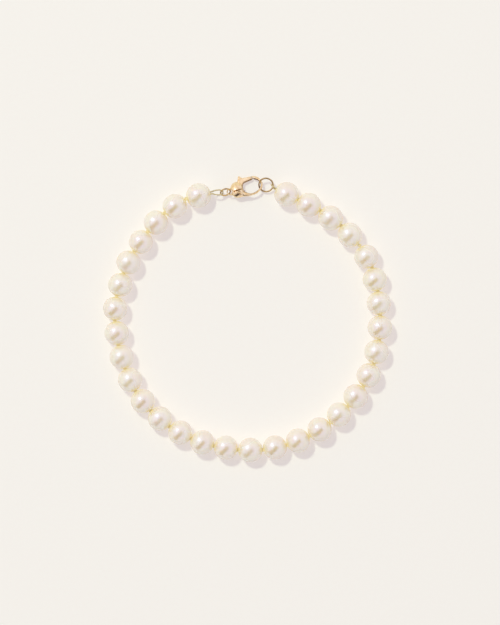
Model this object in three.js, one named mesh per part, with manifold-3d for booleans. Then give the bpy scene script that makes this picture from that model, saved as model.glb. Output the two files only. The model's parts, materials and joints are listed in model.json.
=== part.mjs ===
// A pearl bracelet that lies closed on a table: near-round drilled pearls on one knotted silk
// thread, a coiled-wire loop at each end, a small ring, a lobster clasp and a jump ring.
// Millimetres, +Z up. The origin is on the table, in the middle of the bracelet's footprint,
// and the clasp lies at the far side, towards +Y.

import * as THREE from "three";
import { mergeVertices } from "three/addons/utils/BufferGeometryUtils.js";
import Module from "manifold-3d";

const wasm = await Module();
wasm.setup();

// Pearls
const pearlCount = 31;
const pearlDiameter = 5.35;
const pearlPitch = 5.338; // mean distance between the centres of two neighbours
const pearlSpread = 0.012; // how much the smallest pearl is under the largest, as a share
const pearlGap = 0.12; // air left where two neighbours come closest
const pearlSides = 14; // even, so that each pearl has a flat facet at its foot
const pearlBands = 7; // odd, so that the middle band is level
const boreDiameter = 0.8;
const mouthDiameter = 1.5; // countersunk mouth of the bore
const mouthDepth = 0.35;

// Silk thread
const silkDiameter = 0.42;
const silkSides = 6;
const knotDiameter = 0.95;
const knotLength = 0.6;

// Coiled-wire loops at the two ends of the string
const gimpDiameter = 0.36;
const gimpReach = 2.52; // from where it bends at the first pearl to the far bend
const gimpWidth = 1.1; // across the loop, between the middles of its two legs
const gimpTightWidth = 1; // the same for the short loop at the jump ring's end
const gimpLegSpacing = 0.46; // between the two legs where they enter the pearl
const gimpEntry = 0.12; // how deep the legs go into the mouth
const gimpExit = 0.34; // how far they come straight out of it before they bend away
const gimpTightExit = 0.43; // the same at the jump ring's end
const gimpRun = 0.36; // level distance from the jump ring's wire to where the last loop bends
const gimpSteps = 22;
const wireSides = 6;
const ringSteps = 22;

// Rings
const claspRingDiameter = 2.12; // measured at the middle of the wire
const claspRingWire = 0.38;
const jumpRingDiameter = 3.06;
const jumpRingWire = 0.38;
const linkGap = 0.13; // air where two links hang on each other
const eyeRise = 0.1; // how far the middle of the eye is above the small ring's wire in it

// Clasp, in its own frame: the eye is at the origin, the hook's end towards +X, the lever's
// side towards +Y, and Z runs through the casting
const claspLength = 7.25; // from the middle of the eye to the outside of the hook's end
const claspWidth = 4.5; // across the claw
const claspThickness = 1.8; // at the thickest part of the body
const hookWidth = 0.46; // at the hook's slimmest part
const hookThickness = 0.62;
const eyeBore = 1.02;
const eyeWall = 0.28;
const eyeThickness = 0.56;
const leverThickness = 0.7;
const leverClearance = 0.1; // air between the lever and the body
const leverTravel = 20; // degrees that the thumb tab can be pulled back
const rivetDiameter = 0.4;
const rivetLength = 1.56; // a little more than the cheeks are across at the pivot
const rivetClearance = 0.06;
const windowWidth = 0.34; // slanted slit in the upper cheek
const pinSides = 12;
const hookSides = 8;
const hookSteps = 22;
const leverRoomSteps = 4;
const trimTurn = 22; // degrees to each side of the lever's tip, seen from the pivot

// How the links lie, in degrees: heading is the turn from +X seen from above, pitch is the
// climb, and roll is the turn about the link's own length
const claspHeight = 1.55; // middle of the clasp above the table
const leadIn = { heading: 2.9 };
const firstPearl = { heading: 11.7 };
const claspLie = { heading: 11.6, pitch: 0, roll: -19 };
const claspRingLean = 40; // from upright
const gimpLoopRoll = -12;
const jumpRingLie = { heading: 7.2, pitch: 6, roll: 21 };
const jumpRingSeat = { back: 0.06, aside: 0.08, drop: 0.12 }; // off the hook's inner bend
const jumpRingHold = -31; // where the last loop holds the ring, from the ring's own heading
const leadOut = { heading: -26.2 };
const gimpTightRoll = 68;

// How the string strays from a true circle, chosen by hand: along is the share of the way from
// the first pearl to the last, out and ahead are in pearl diameters
const stringLay = [
  { along: 0, out: 0, ahead: 0 },
  { along: 0.033, out: 0.03, ahead: 0.05 },
  { along: 0.1, out: -0.12, ahead: 0.07 },
  { along: 0.167, out: -0.14, ahead: 0.055 },
  { along: 0.2, out: -0.11, ahead: 0.065 },
  { along: 0.25, out: -0.19, ahead: 0.095 },
  { along: 0.333, out: -0.09, ahead: 0.145 },
  { along: 0.4, out: -0.095, ahead: 0.165 },
  { along: 0.467, out: -0.11, ahead: 0.16 },
  { along: 0.533, out: -0.03, ahead: 0.19 },
  { along: 0.633, out: 0.08, ahead: 0.13 },
  { along: 0.7, out: 0.17, ahead: 0.09 },
  { along: 0.8, out: 0.14, ahead: -0.015 },
  { along: 0.867, out: 0.21, ahead: -0.125 },
  { along: 0.9, out: 0.125, ahead: -0.05 },
  { along: 0.967, out: -0.03, ahead: 0 },
  { along: 1, out: 0, ahead: 0 },
];

// Middle line of the hook from inside the body to its tip, as shares of the clasp's length and
// width, and how wide it is there as a multiple of the hook's width
const hookLine = [
  { along: 0.2, aside: -0.2, wide: 2.4 },
  { along: 0.4, aside: -0.26, wide: 2.3 },
  { along: 0.6, aside: -0.342, wide: 1.15 },
  { along: 0.795, aside: -0.276, wide: 0.95 },
  { along: 0.933, aside: -0.098, wide: 1 },
  { along: 0.968, aside: 0.115, wide: 1 },
  { along: 0.918, aside: 0.322, wide: 1.25 },
  { along: 0.805, aside: 0.455, wide: 1.75 },
  { along: 0.668, aside: 0.48, wide: 1.95 },
];

// One leg of an end loop, as shares of its reach and of half its width
const gimpLine = [
  { along: 0.3, aside: 0.82 },
  { along: 0.68, aside: 1 },
  { along: 0.93, aside: 0.7 },
];

// Joints of the lever as shares of the clasp's length and width, with the radius there as a
// share of the width
const leverPivot = { along: 0.265, aside: -0.175, radius: 0.1 };
const leverElbow = { along: 0.374, aside: 0.42, radius: 0.145 };
const leverTip = { along: 0.646, aside: 0.467, radius: 0.09 };
const leverTab = { along: 0.347, aside: 0.633, radius: 0.062 };

// Middle and half-sizes of the body's rounded casting, as shares of the length and width
const bulb = { along: 0.228, aside: 0.04, halfAlong: 0.215, halfAside: 0.405 };
const windowEnds = [
  { along: 0.127, aside: -0.076 },
  { along: 0.346, aside: -0.038 },
];

const materials = {
  pearl: new THREE.MeshStandardMaterial({ color: 0xf3ead9, roughness: 0.25, metalness: 0 }),
  silk: new THREE.MeshStandardMaterial({ color: 0xeadfb8, roughness: 0.8, metalness: 0 }),
  gold: new THREE.MeshStandardMaterial({ color: 0xe3c07a, roughness: 0.18, metalness: 1 }),
  gimp: new THREE.MeshStandardMaterial({ color: 0xc9b871, roughness: 0.35, metalness: 1 }),
};

const degrees = Math.PI / 180;

// A closed geometry as a solid that can be joined and cut
function solidOf(geometry) {
  const bare = geometry.clone();
  bare.deleteAttribute("normal");
  bare.deleteAttribute("uv");
  const merged = mergeVertices(bare, 1e-5);
  return new wasm.Manifold(
    new wasm.Mesh({
      numProp: 3,
      vertProperties: merged.attributes.position.array,
      triVerts: new Uint32Array(merged.index.array),
    }),
  );
}

// A solid as a geometry with flat facets
function geometryOf(solid) {
  const mesh = solid.getMesh();
  const geometry = new THREE.BufferGeometry();
  geometry.setAttribute("position", new THREE.BufferAttribute(mesh.vertProperties, 3));
  geometry.setIndex(new THREE.BufferAttribute(mesh.triVerts, 1));
  geometry.computeVertexNormals();
  return geometry;
}

function namedMesh(name, geometry, material) {
  const mesh = new THREE.Mesh(geometry, material);
  mesh.name = name;
  return mesh;
}

// A regular polygon whose corners lie on the ellipse with these half-sizes
function polygonShape(sides, halfWidth, halfHeight) {
  const corners = [];
  for (let i = 0; i < sides; i++) {
    const turn = ((i + 0.5) / sides) * 2 * Math.PI;
    corners.push(new THREE.Vector2(halfWidth * Math.cos(turn), halfHeight * Math.sin(turn)));
  }
  return new THREE.Shape(corners);
}

// A section carried along a curve
function sweptBar(curve, section, steps) {
  return new THREE.ExtrudeGeometry(section, { steps, bevelEnabled: false, extrudePath: curve });
}

// A flat outline given a thickness, with its middle at z = 0
function plate(outline, thickness, curveSegments) {
  const geometry = new THREE.ExtrudeGeometry(outline, {
    depth: thickness,
    bevelEnabled: false,
    curveSegments,
  });
  return geometry.translate(0, 0, -thickness / 2);
}

// A round bar that stands along z
function uprightPin(diameter, length, sides) {
  const radius = diameter / 2;
  return new THREE.CylinderGeometry(radius, radius, length, sides).rotateX(Math.PI / 2);
}

// Unit vector of a heading and a pitch
function direction(heading, pitch = 0) {
  return new THREE.Vector3(
    Math.cos(heading * degrees) * Math.cos(pitch * degrees),
    Math.sin(heading * degrees) * Math.cos(pitch * degrees),
    Math.sin(pitch * degrees),
  );
}

// A group that lies with the given heading, pitch and roll
function lyingGroup(position, { heading, pitch, roll }) {
  const group = new THREE.Group();
  group.position.copy(position);
  group.rotation.set(roll * degrees, -pitch * degrees, heading * degrees, "ZYX");
  group.updateMatrixWorld(true);
  return group;
}

// The pearl's half profile, turned round Y: bore, countersunk mouths, and bands whose facets
// touch the true round from outside
function pearlGeometry(halfLength, radius) {
  const rimTurn = Math.asin(mouthDiameter / 2 / radius);
  const bandTurn = (Math.PI - 2 * rimTurn) / pearlBands;
  const swell = 1 / Math.cos(bandTurn / 2) / Math.cos(Math.PI / pearlSides);
  const halfAxis = halfLength / Math.cos(rimTurn);
  const boreRadius = boreDiameter / 2;
  const profile = [new THREE.Vector2(boreRadius, mouthDepth - halfLength)];
  for (let i = 0; i <= pearlBands; i++) {
    const turn = rimTurn + i * bandTurn;
    profile.push(new THREE.Vector2(swell * radius * Math.sin(turn), -halfAxis * Math.cos(turn)));
  }
  profile.push(new THREE.Vector2(boreRadius, halfLength - mouthDepth));
  profile.push(profile[0].clone());
  return new THREE.LatheGeometry(profile, pearlSides, Math.PI / pearlSides);
}

// Radius of each pearl: they are matched, but not alike
function pearlRadius(index) {
  const share = 0.5 + 0.5 * Math.sin(2.4 * index);
  return (pearlDiameter / 2) * (1 - pearlSpread * share);
}

// A value of the string's lay between two of its rows
function layAt(along, column) {
  const next = Math.max(1, stringLay.findIndex((row) => row.along >= along));
  const before = stringLay[next - 1];
  const after = stringLay[next];
  const share = (along - before.along) / (after.along - before.along);
  return before[column] + share * (after[column] - before[column]);
}

// Radius of the circle on which this many equal chords and one closing chord go once round
function closedLoopRadius(chords, chord, closingChord) {
  let radius = (chords * chord + closingChord) / (2 * Math.PI);
  for (let i = 0; i < 60; i++) {
    const turned = 2 * chords * Math.asin(chord / 2 / radius);
    const closing = 2 * Math.asin(closingChord / 2 / radius);
    radius *= (turned + closing) / (2 * Math.PI);
  }
  return radius;
}

// The fastening, laid link by link from x = y = 0, where the first end loop bends away
const axisHeight = pearlDiameter / 2;
const firstExit = new THREE.Vector3(0, 0, axisHeight);
const gimpTouch = gimpDiameter / 2 + linkGap + claspRingWire / 2;
const claspRingRadius = claspRingDiameter / 2;
const leadLength = gimpReach - gimpTouch + claspRingDiameter;
leadIn.pitch = -Math.asin((axisHeight - claspHeight + eyeRise) / leadLength) / degrees;
const leadLine = direction(leadIn.heading, leadIn.pitch);
const claspRingMiddle = firstExit
  .clone()
  .addScaledVector(leadLine, gimpReach - gimpTouch + claspRingRadius);
const eyeMiddle = firstExit.clone().addScaledVector(leadLine, leadLength);
eyeMiddle.z = claspHeight;
const claspGroup = lyingGroup(eyeMiddle, claspLie);

const jumpRingRadius = jumpRingDiameter / 2;
const hookInside = claspLength - hookWidth;
const ringSeat = claspGroup.localToWorld(
  new THREE.Vector3(
    hookInside - linkGap - jumpRingWire / 2 - jumpRingSeat.back,
    jumpRingSeat.aside,
    -jumpRingSeat.drop,
  ),
);
const jumpRingMiddle = ringSeat
  .clone()
  .addScaledVector(direction(jumpRingLie.heading, jumpRingLie.pitch), jumpRingRadius);
const jumpRingGroup = lyingGroup(jumpRingMiddle, jumpRingLie);
const heldWire = jumpRingGroup.localToWorld(direction(jumpRingHold).multiplyScalar(jumpRingRadius));
const lastExit = heldWire.clone().addScaledVector(direction(leadOut.heading), gimpRun);
lastExit.z = axisHeight;

// The pearls' centres, round from the first to the last
const rimRadius = mouthDiameter / 2 / Math.cos(Math.PI / pearlSides);
const endHalfLength = (pearlPitch - pearlGap) / 2;
const firstCentre = firstExit
  .clone()
  .addScaledVector(direction(firstPearl.heading), -endHalfLength - gimpExit);
const lastCentre = lastExit
  .clone()
  .addScaledVector(direction(leadOut.heading), endHalfLength + gimpTightExit);

function pearlCentres() {
  const closing = lastCentre.clone().sub(firstCentre);
  const chord = closing.length();
  const chords = pearlCount - 1;
  const radius = closedLoopRadius(chords, pearlPitch, chord);
  const across = new THREE.Vector3(closing.y, -closing.x, 0).normalize();
  const middle = firstCentre
    .clone()
    .addScaledVector(closing, 0.5)
    .addScaledVector(across, Math.sqrt(radius ** 2 - chord ** 2 / 4));
  const start = Math.atan2(firstCentre.y - middle.y, firstCentre.x - middle.x);
  const step = 2 * Math.asin(pearlPitch / 2 / radius);
  const centres = [];
  for (let i = 0; i < pearlCount; i++) {
    const turn = start + i * step;
    const outward = new THREE.Vector3(Math.cos(turn), Math.sin(turn), 0);
    const onward = new THREE.Vector3(-Math.sin(turn), Math.cos(turn), 0);
    const along = i / chords;
    const centre = middle.clone().addScaledVector(outward, radius);
    centre.addScaledVector(outward, pearlDiameter * layAt(along, "out"));
    centre.addScaledVector(onward, pearlDiameter * layAt(along, "ahead"));
    centre.z = pearlRadius(i);
    centres.push(centre);
  }
  return centres;
}

// Each pearl's centre, the line of its bore, and its half-length, which leaves the gap to its
// nearer neighbour on the inner side of the string's bend
function pearlPlaces() {
  const centres = pearlCentres();
  const last = pearlCount - 1;
  const lines = centres.map((centre, i) => {
    if (i === 0) return direction(firstPearl.heading).negate();
    if (i === last) return direction(leadOut.heading).negate();
    const line = centres[i + 1].clone().sub(centres[i - 1]);
    line.z = 0;
    return line.normalize();
  });
  const rooms = lines.slice(1).map((line, i) => {
    const bend = line.angleTo(lines[i]) / 2;
    const half = (centres[i].distanceTo(centres[i + 1]) - pearlGap) / 2;
    return (half - rimRadius * Math.sin(bend)) / Math.cos(bend);
  });
  return centres.map((centre, i) => ({
    centre,
    line: lines[i],
    radius: pearlRadius(i),
    halfLength: Math.min(endHalfLength, rooms[i - 1] ?? endHalfLength, rooms[i] ?? endHalfLength),
  }));
}

function pearlMeshes(places) {
  return places.map(({ centre, line, radius, halfLength }, i) => {
    const name = "pearl_" + String(i + 1).padStart(2, "0");
    const mesh = namedMesh(name, pearlGeometry(halfLength, radius), materials.pearl);
    mesh.position.copy(centre);
    mesh.rotation.z = Math.atan2(line.y, line.x) - Math.PI / 2;
    return mesh;
  });
}

// The thread runs straight through each bore, and bends in the knots between the pearls
function silkGeometry(places) {
  const mouth = ({ centre, line, halfLength }, side, inset = 0) =>
    centre.clone().addScaledVector(line, side * (halfLength - inset));
  const endInset = gimpEntry + linkGap;
  const points = [mouth(places[0], -1, endInset)];
  const knots = [];
  for (let i = 1; i < places.length; i++) {
    const middle = mouth(places[i - 1], 1).add(mouth(places[i], -1)).multiplyScalar(0.5);
    points.push(middle);
    knots.push({ middle, line: places[i].centre.clone().sub(places[i - 1].centre) });
  }
  points.push(mouth(places[places.length - 1], 1, endInset));
  const section = polygonShape(silkSides, silkDiameter / 2, silkDiameter / 2);
  let silk = null;
  for (let i = 1; i < points.length; i++) {
    const run = solidOf(sweptBar(new THREE.LineCurve3(points[i - 1], points[i]), section, 1));
    silk = silk ? silk.add(run) : run;
  }
  for (const { middle, line } of knots) {
    const knot = new THREE.SphereGeometry(1, silkSides, 4)
      .scale(knotDiameter / 2, knotLength / 2, knotDiameter / 2)
      .rotateZ(Math.atan2(line.y, line.x) - Math.PI / 2)
      .translate(middle.x, middle.y, middle.z);
    silk = silk.add(solidOf(knot));
  }
  return geometryOf(silk);
}

// An end loop in its group: both legs start inside the pearl's mouth, run straight out of it
// by exit against the world direction inward, part at the origin, and meet in the bend at reach
function gimpGeometry(group, inward, exit, reach, width) {
  const half = width / 2;
  const entry = inward.clone().applyQuaternion(group.quaternion.clone().invert());
  const across = new THREE.Vector3(0, 1, 0).projectOnPlane(entry).setLength(gimpLegSpacing / 2);
  const leg = (side) => [
    across.clone().multiplyScalar(side).addScaledVector(entry, exit + gimpEntry),
    across.clone().multiplyScalar(side),
    ...gimpLine.map(({ along, aside }) => new THREE.Vector3(along * reach, side * aside * half, 0)),
  ];
  const bend = new THREE.Vector3(reach, 0, 0);
  const line = new THREE.CatmullRomCurve3([...leg(1), bend, ...leg(-1).reverse()]);
  const section = polygonShape(wireSides, gimpDiameter / 2, gimpDiameter / 2);
  return sweptBar(line, section, gimpSteps);
}

function ringGeometry(radius, wire) {
  return new THREE.TorusGeometry(radius, wire / 2, wireSides, ringSteps);
}

function claspPoint({ along, aside }) {
  return new THREE.Vector2(along * claspLength, aside * claspWidth);
}

// The outline round two circles and their common tangents
function taperedOutline(from, fromRadius, to, toRadius) {
  const turn = Math.atan2(to.y - from.y, to.x - from.x);
  const spread = Math.acos((fromRadius - toRadius) / from.distanceTo(to));
  const outline = new THREE.Shape();
  outline.absarc(from.x, from.y, fromRadius, turn + spread, turn - spread + 2 * Math.PI, false);
  outline.absarc(to.x, to.y, toRadius, turn - spread, turn + spread, false);
  return outline;
}

function leverArm(from, to, thickness, growth) {
  const outline = taperedOutline(
    claspPoint(from),
    from.radius * claspWidth + growth,
    claspPoint(to),
    to.radius * claspWidth + growth,
  );
  return solidOf(plate(outline, thickness + 2 * growth, 3));
}

// The lever's three arms, all bigger by growth
function leverBlank(growth) {
  return leverArm(leverPivot, leverElbow, leverThickness, growth)
    .add(leverArm(leverElbow, leverTip, leverThickness, growth))
    .add(leverArm(leverElbow, leverTab, leverThickness, growth));
}

function pinAtPivot(diameter, length) {
  const pivot = claspPoint(leverPivot);
  return uprightPin(diameter, length, pinSides).translate(pivot.x, pivot.y, 0);
}

function leverGeometry() {
  const bore = pinAtPivot(rivetDiameter + 2 * rivetClearance, claspThickness);
  return geometryOf(leverBlank(0).subtract(solidOf(bore)));
}

// The room that the lever needs from shut to fully pulled back
function leverRoom() {
  const pivot = claspPoint(leverPivot);
  const grown = geometryOf(leverBlank(leverClearance));
  let room = null;
  for (let i = 0; i <= leverRoomSteps; i++) {
    const turned = grown
      .clone()
      .translate(-pivot.x, -pivot.y, 0)
      .rotateZ((-leverTravel * degrees * i) / leverRoomSteps)
      .translate(pivot.x, pivot.y, 0);
    const step = solidOf(turned);
    room = room ? room.add(step) : step;
  }
  return room;
}

// The hook: an oval section carried along its line, as wide as each row says
function hookGeometry() {
  const line = new THREE.CatmullRomCurve3(
    hookLine.map((row) => {
      const { x, y } = claspPoint(row);
      return new THREE.Vector3(x, y, row.wide * hookWidth);
    }),
  );
  const positions = [];
  for (let i = 0; i <= hookSteps; i++) {
    const { x, y, z: width } = line.getPoint(i / hookSteps);
    const ahead = line.getTangent(i / hookSteps).setZ(0).normalize();
    for (let j = 0; j < hookSides; j++) {
      const turn = ((j + 0.5) / hookSides) * 2 * Math.PI;
      const aside = (width / 2) * Math.cos(turn);
      const up = (hookThickness / 2) * Math.sin(turn);
      positions.push(x - ahead.y * aside, y + ahead.x * aside, up);
    }
  }
  const corner = (i, j) => i * hookSides + (j % hookSides);
  const index = [];
  for (let i = 0; i < hookSteps; i++) {
    for (let j = 0; j < hookSides; j++) {
      index.push(corner(i, j), corner(i, j + 1), corner(i + 1, j + 1));
      index.push(corner(i, j), corner(i + 1, j + 1), corner(i + 1, j));
    }
  }
  for (let j = 1; j < hookSides - 1; j++) {
    index.push(corner(0, 0), corner(0, j + 1), corner(0, j));
    index.push(corner(hookSteps, 0), corner(hookSteps, j), corner(hookSteps, j + 1));
  }
  const geometry = new THREE.BufferGeometry();
  geometry.setAttribute("position", new THREE.Float32BufferAttribute(positions, 3));
  return geometry.setIndex(index);
}

// The slice that trims the hook's end to an arc about the pivot, just outside the lever's tip
function hookTrim() {
  const pivot = claspPoint(leverPivot);
  const tip = claspPoint(leverTip);
  const reach = pivot.distanceTo(tip) + leverTip.radius * claspWidth + leverClearance;
  const turn = Math.atan2(tip.y - pivot.y, tip.x - pivot.x);
  const outline = new THREE.Shape();
  const from = turn - trimTurn * degrees;
  const to = turn + trimTurn * degrees;
  outline.absarc(pivot.x, pivot.y, reach, from, to, false);
  outline.absarc(pivot.x, pivot.y, reach - 2 * hookWidth, to, from, true);
  return solidOf(plate(outline, 2 * hookThickness, 12));
}

function claspBodyGeometry() {
  const middle = claspPoint(bulb);
  const cast = new THREE.SphereGeometry(1, 18, 10)
    .rotateX(Math.PI / 2)
    .scale(bulb.halfAlong * claspLength, bulb.halfAside * claspWidth, claspThickness / 2)
    .translate(middle.x, middle.y, 0);
  const eye = uprightPin(eyeBore + 2 * eyeWall, eyeThickness, hookSides * 2);
  const window = plate(
    taperedOutline(
      claspPoint(windowEnds[0]),
      windowWidth / 2,
      claspPoint(windowEnds[1]),
      windowWidth / 2,
    ),
    claspThickness,
    2,
  ).translate(0, 0, (claspThickness + leverThickness) / 2);
  const rivetHole = pinAtPivot(rivetDiameter + 2 * rivetClearance, 2 * claspThickness);
  return geometryOf(
    solidOf(hookGeometry())
      .subtract(hookTrim())
      .add(solidOf(cast))
      .add(solidOf(eye))
      .subtract(solidOf(uprightPin(eyeBore, claspThickness, hookSides * 2)))
      .subtract(leverRoom())
      .subtract(solidOf(window))
      .subtract(solidOf(rivetHole)),
  );
}

const places = pearlPlaces();
const bracelet = new THREE.Group();
bracelet.add(...pearlMeshes(places));
bracelet.add(namedMesh("silk_thread", silkGeometry(places), materials.silk));

const claspLoopGroup = lyingGroup(firstExit, { ...leadIn, roll: gimpLoopRoll });
const claspLoop = gimpGeometry(claspLoopGroup, places[0].line, gimpExit, gimpReach, gimpWidth);
claspLoopGroup.add(namedMesh("gimp_loop_clasp", claspLoop, materials.gimp));
const claspRingGroup = lyingGroup(claspRingMiddle, { ...leadIn, roll: 90 - claspRingLean });
claspRingGroup.add(
  namedMesh("clasp_ring", ringGeometry(claspRingRadius, claspRingWire), materials.gold),
);
claspGroup.add(
  namedMesh("clasp_body", claspBodyGeometry(), materials.gold),
  namedMesh("clasp_lever", leverGeometry(), materials.gold),
  namedMesh("clasp_rivet", pinAtPivot(rivetDiameter, rivetLength), materials.gold),
);
jumpRingGroup.add(
  namedMesh("jump_ring", ringGeometry(jumpRingRadius, jumpRingWire), materials.gold),
);
const toWire = heldWire.clone().sub(lastExit);
const tightTouch = gimpDiameter / 2 + linkGap + jumpRingWire / 2;
const ringLoopGroup = lyingGroup(lastExit, {
  heading: Math.atan2(toWire.y, toWire.x) / degrees,
  pitch: Math.asin(toWire.z / toWire.length()) / degrees,
  roll: gimpTightRoll,
});
const ringLoop = gimpGeometry(
  ringLoopGroup,
  places[pearlCount - 1].line.clone().negate(),
  gimpTightExit,
  toWire.length() + tightTouch,
  gimpTightWidth,
);
ringLoopGroup.add(namedMesh("gimp_loop_ring", ringLoop, materials.gimp));
bracelet.add(claspLoopGroup, claspRingGroup, claspGroup, jumpRingGroup, ringLoopGroup);

// The origin goes to the middle of the footprint
bracelet.updateMatrixWorld(true);
const footprint = new THREE.Box3().setFromObject(bracelet, true).getCenter(new THREE.Vector3());
bracelet.position.set(-footprint.x, -footprint.y, 0);

export default bracelet;
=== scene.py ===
import json
import math
import bpy
import numpy as np
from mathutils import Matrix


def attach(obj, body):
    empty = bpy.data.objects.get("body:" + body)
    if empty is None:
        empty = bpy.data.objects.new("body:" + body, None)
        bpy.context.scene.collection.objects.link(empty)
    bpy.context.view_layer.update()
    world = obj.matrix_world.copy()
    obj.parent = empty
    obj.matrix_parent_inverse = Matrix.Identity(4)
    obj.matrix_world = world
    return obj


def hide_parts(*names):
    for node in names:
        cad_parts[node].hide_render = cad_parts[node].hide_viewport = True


# A pearl bracelet that lies closed on a pale table, seen from straight above.
# Sizes are in millimetres and are turned to metres where a mesh is made.

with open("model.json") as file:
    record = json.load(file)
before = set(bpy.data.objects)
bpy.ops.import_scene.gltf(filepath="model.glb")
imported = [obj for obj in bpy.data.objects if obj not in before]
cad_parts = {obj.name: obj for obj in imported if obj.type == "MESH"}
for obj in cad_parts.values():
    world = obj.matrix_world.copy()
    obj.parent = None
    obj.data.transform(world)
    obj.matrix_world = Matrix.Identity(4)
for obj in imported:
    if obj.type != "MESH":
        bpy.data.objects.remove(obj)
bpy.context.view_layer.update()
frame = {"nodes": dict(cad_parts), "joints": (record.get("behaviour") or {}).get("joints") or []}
mm = 0.001
randomNumbers = np.random.default_rng(31)
print("frame loaded:", len(frame["nodes"]), "nodes")


# Small tools

def fromHex(code):
    # an sRGB hex colour as linear red, green and blue
    srgb = np.array([int(code[i:i + 2], 16) for i in (1, 3, 5)]) / 255
    linear = np.where(srgb <= 0.04045, srgb / 12.92, ((srgb + 0.055) / 1.055) ** 2.4)
    return (*linear.tolist(), 1.0)


def unit(vectors):
    return vectors / np.linalg.norm(vectors, axis=-1, keepdims=True)


def addNode(tree, kind, settings=None, inputs=None, links=None):
    # one node: settings are its own fields, inputs its sockets' values, links its sockets' sources
    node = tree.nodes.new(kind)
    for field, value in (settings or {}).items():
        setattr(node, field, value)
    for socket, value in (inputs or {}).items():
        node.inputs[socket].default_value = value
    for socket, source in (links or {}).items():
        tree.links.new(source, node.inputs[socket])
    return node


def newMaterial(name):
    material = bpy.data.materials.new(name)
    material.use_nodes = True
    material.node_tree.nodes.clear()
    return material, material.node_tree


def finishMaterial(tree, shader):
    addNode(tree, "ShaderNodeOutputMaterial", links={"Surface": shader.outputs[0]})


def colourRamp(tree, source, stops):
    ramp = addNode(tree, "ShaderNodeValToRGB", links={0: source})
    elements = ramp.color_ramp.elements
    while len(elements) < len(stops):
        elements.new(0.5)
    for element, (place, colour) in zip(elements, stops):
        element.position = place
        element.color = fromHex(colour)
    return ramp.outputs["Color"]


# Quads between the points of a grid, which may wrap in its rows and its columns
def gridFaces(rows, columns, wrapRows=False, wrapColumns=True):
    row = np.arange(rows if wrapRows else rows - 1)[:, None]
    column = np.arange(columns if wrapColumns else columns - 1)[None, :]
    nextRow = (row + 1) % rows
    nextColumn = (column + 1) % columns
    corners = [
        row * columns + column,
        row * columns + nextColumn,
        nextRow * columns + nextColumn,
        nextRow * columns + column,
    ]
    return np.stack(corners, -1).reshape(-1, 4)


# A grid that is closed round its columns gets a point in the middle of each end
def closedTube(rings):
    rows, columns = rings.shape[:2]
    points = np.concatenate([rings.reshape(-1, 3), rings[0].mean(0)[None], rings[-1].mean(0)[None]])
    first = rows * columns
    column = np.arange(columns)
    after = (column + 1) % columns
    startCap = np.stack([np.full(columns, first), after, column], -1)
    lastRow = (rows - 1) * columns
    endCap = np.stack([np.full(columns, first + 1), lastRow + column, lastRow + after], -1)
    return points, gridFaces(rows, columns).tolist() + startCap.tolist() + endCap.tolist()


def makePiece(name, points, faces, material, body, nodes, floats=None):
    # a smooth mesh in metres that rides on a body and stands for CAD nodes
    mesh = bpy.data.meshes.new(name)
    mesh.from_pydata((np.asarray(points) * mm).tolist(), [], np.asarray(faces, object).tolist())
    mesh.polygons.foreach_set("use_smooth", [True] * len(mesh.polygons))
    for label, values in (floats or {}).items():
        layer = mesh.attributes.new(label, "FLOAT", "POINT")
        layer.data.foreach_set("value", np.asarray(values, np.float32))
    mesh.materials.append(material)
    mesh.update()
    piece = bpy.data.objects.new(name, mesh)
    bpy.context.scene.collection.objects.link(piece)
    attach(piece, body)
    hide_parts(*nodes)
    return piece


def joined(parts):
    # several point and face lists as one
    points = []
    faces = []
    for partPoints, partFaces in parts:
        start = sum(len(p) for p in points)
        points.append(partPoints)
        faces += [[start + corner for corner in face] for face in np.asarray(partFaces, object).tolist()]
    return np.concatenate(points), faces


def nodePoints(name):
    # the corners of a CAD node, in millimetres
    mesh = frame["nodes"][name].data
    flat = np.empty(len(mesh.vertices) * 3)
    mesh.vertices.foreach_get("co", flat)
    return flat.reshape(-1, 3) / mm


# Smooth line through points: between two points it is a cubic whose slopes follow the
# square roots of the distances, and it is cut into equal steps of its length
def lineThrough(points, steps):
    p = np.asarray(points, float)
    p = np.concatenate([[2 * p[0] - p[1]], p, [2 * p[-1] - p[-2]]])
    gap = np.sqrt(np.linalg.norm(np.diff(p, axis=0), axis=1))[:, None]
    before, here, there, after = p[:-3], p[1:-2], p[2:-1], p[3:]
    g0, g1, g2 = gap[:-2], gap[1:-1], gap[2:]
    startSlope = ((here - before) / g0 - (there - before) / (g0 + g1) + (there - here) / g1) * g1
    endSlope = ((there - here) / g1 - (after - here) / (g1 + g2) + (after - there) / g2) * g1
    t = np.linspace(0, 1, 24, endpoint=False)[None, :, None]
    dense = (
        (2 * t**3 - 3 * t**2 + 1) * here[:, None]
        + (t**3 - 2 * t**2 + t) * startSlope[:, None]
        + (3 * t**2 - 2 * t**3) * there[:, None]
        + (t**3 - t**2) * endSlope[:, None]
    ).reshape(-1, 3)
    dense = np.concatenate([dense, p[-2:-1]])
    run = np.concatenate([[0], np.cumsum(np.linalg.norm(np.diff(dense, axis=0), axis=1))])
    even = np.linspace(0, run[-1], steps)
    return np.stack([np.interp(even, run, dense[:, i]) for i in range(3)], -1), run[-1]


# Round section of a given radius carried along a line: a point of it is
# line + radius (cos a * side + sin a * up), where side and up are square to the line
def tubeRings(line, radius, sides, reference):
    along = unit(np.gradient(line, axis=0))
    side = unit(np.cross(reference, along))
    up = np.cross(along, side)
    angle = np.linspace(0, 2 * np.pi, sides, endpoint=False)
    radius = np.broadcast_to(radius, (len(line), sides))[..., None]
    ring = np.cos(angle)[None, :, None] * side[:, None] + np.sin(angle)[None, :, None] * up[:, None]
    return line[:, None] + radius * ring


# Materials

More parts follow.
